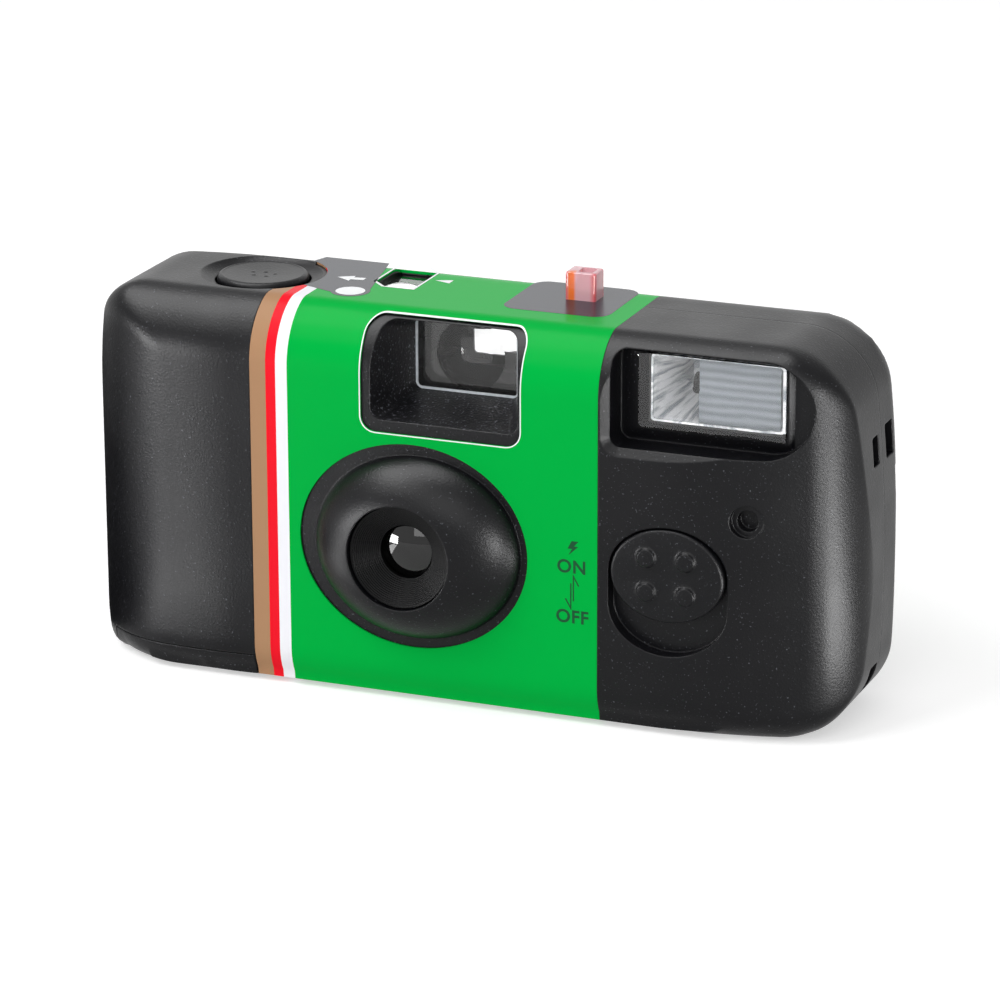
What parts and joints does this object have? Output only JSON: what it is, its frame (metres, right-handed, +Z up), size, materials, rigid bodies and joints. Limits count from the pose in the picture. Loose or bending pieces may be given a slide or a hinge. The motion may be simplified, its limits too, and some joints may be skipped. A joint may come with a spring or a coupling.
{
  "type": "disposable film camera",
  "caption": "Compact single-use film camera with a black moulded case, printed label band, domed lens, finder, built-in flash with slide switch and winding wheel.",
  "frame": {"origin": "under the middle of the case, on the base it stands on", "axes": "+Z up, the lens looks along -Y, +X to the flash side, which is on the right when the lens faces the viewer"},
  "size_m": [0.108, 0.034, 0.0557],
  "materials": {
    "case_black": "fine grained satin",
    "inner_black": "matt",
    "label": "printed gloss card",
    "red_clear": "clear tinted",
    "brass": "plain",
    "clear": "clear",
    "silver": "bright",
    "white": "matt",
    "steel": "plain",
    "can": "gloss",
    "film": "gloss",
    "board": "satin",
    "winding": "enamelled",
    "lamp": "clear"
  },
  "bodies": {
    "case": {"front_cover": "case_black", "rear_cover": "case_black", "label_band": "label", "main_frame": "inner_black", "flash_window": "clear", "flash_reflector": "silver", "flash_tube": "clear", "finder_objective": "clear", "finder_eyepiece": "clear", "counter_window": "clear", "lens_ring": "inner_black", "taking_lens": "clear", "lens_holder": "inner_black", "blade_spring": "steel", "lever_spring": "steel", "cartridge_shell": "can", "cartridge_caps": "steel", "film_strip": "film", "circuit_board": "board", "main_capacitor": "can", "transformer": "winding", "trigger_coil": "winding", "ready_lamp": "lamp", "battery": "can", "contact_positive": "steel", "contact_negative": "steel"},
    "base_flap": {"cartridge_lid": "case_black"},
    "button": {"shutter_button": "case_black"},
    "release": {"release_lever": "white"},
    "strike": {"strike_lever": "white"},
    "blade": {"shutter_blade": "steel"},
    "switch": {"flash_slider": "case_black", "ready_light_guide": "red_clear", "switch_contact": "brass"},
    "winder": {"thumbwheel": "case_black", "cartridge_spool": "inner_black"},
    "sprocket": {"sprocket_wheel": "inner_black"},
    "counter": {"counter_disc": "white"},
    "supply": {"supply_spool": "inner_black", "film_roll": "film"}
  },
  "joints": [
    {"name": "shutter_button_press", "type": "slide", "parent": "case", "child": "button", "axis": [0, 0, -1], "range_m": [0, 0.001], "stiffness_N_per_m": 400, "springref_m": -0.0004},
    {"name": "release_lever_turn", "type": "hinge", "parent": "case", "child": "release", "pos_m": [-0.0224, -0.0057, 0.0434], "axis": [0, -1, 0], "range_deg": [0, 17.6]},
    {"name": "strike_lever_swing", "type": "hinge", "parent": "case", "child": "strike", "pos_m": [-0.0154, -0.0057, 0.035], "axis": [0, -1, 0], "range_deg": [0, 12], "stiffness_Nm_per_rad": 0.001, "springref_deg": -5.73},
    {"name": "shutter_blade_swing", "type": "hinge", "parent": "case", "child": "blade", "pos_m": [-0.01135, -0.006, 0.0292], "axis": [0, 1, 0], "range_deg": [0, 30], "stiffness_Nm_per_rad": 0.0005, "springref_deg": -5.73},
    {"name": "flash_switch_slide", "type": "slide", "parent": "case", "child": "switch", "axis": [0, 0, -1], "range_m": [0, 0.0043]},
    {"name": "thumbwheel_turn", "type": "hinge", "parent": "case", "child": "winder", "pos_m": [-0.038, 0.003, 0.046], "axis": [0, 0, 1], "continuous": true},
    {"name": "sprocket_turn", "type": "hinge", "parent": "case", "child": "sprocket", "pos_m": [-0.0185, 0.00735, 0.0415], "axis": [0, 0, 1], "continuous": true},
    {"name": "counter_turn", "type": "hinge", "parent": "case", "child": "counter", "pos_m": [-0.0166, -0.0004, 0.045], "axis": [0, 0, 1], "continuous": true},
    {"name": "supply_turn", "type": "hinge", "parent": "case", "child": "supply", "pos_m": [0.03, 0.0049, 0.02], "axis": [0, 0, 1], "continuous": true},
    {"name": "cartridge_lid_open", "type": "hinge", "parent": "case", "child": "base_flap", "pos_m": [-0.038, 0.0115, 0.0006], "axis": [1, 0, 0], "range_deg": [0, 100]}
  ],
  "couplings": [
    {"joint": "release_lever_turn", "follows": "shutter_button_press", "rad_per_m": 303},
    {"joint": "sprocket_turn", "follows": "thumbwheel_turn", "ratio": 1.24},
    {"joint": "counter_turn", "follows": "thumbwheel_turn", "ratio": -0.03444},
    {"joint": "supply_turn", "follows": "thumbwheel_turn", "ratio": 0.8824}
  ]
}
